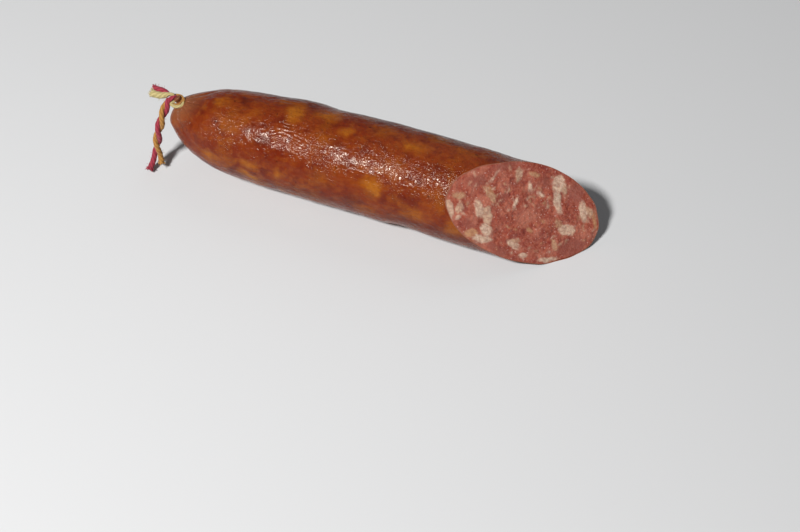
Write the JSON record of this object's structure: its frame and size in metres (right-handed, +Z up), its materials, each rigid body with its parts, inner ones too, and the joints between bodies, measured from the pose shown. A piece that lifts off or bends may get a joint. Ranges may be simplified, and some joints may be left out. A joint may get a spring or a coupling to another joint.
{
  "type": "cured sausage",
  "caption": "Half of a cured sausage in a wrinkled casing, gathered and tied at one end with two-colour string, cut obliquely at the other to show coarse meat and fat.",
  "frame": {"origin": "on the surface that the sausage lies on, below the middle of the sausage's own box, its string left out", "axes": "+X along the sausage from its tied end to its cut, +Y to the side that the cut's long tip leans to, +Z up"},
  "size_m": [0.1723, 0.0375, 0.0353],
  "materials": {
    "casing": "glossy dried casing over mottled paprika meat, coarse pink meat and cream fat on the cut",
    "string": "red and ochre plies twisted together"
  },
  "bodies": {
    "root": {"sausage": "casing", "string_knot": "string", "string_long_end": "string", "string_short_end": "string"}
  },
  "joints": []
}
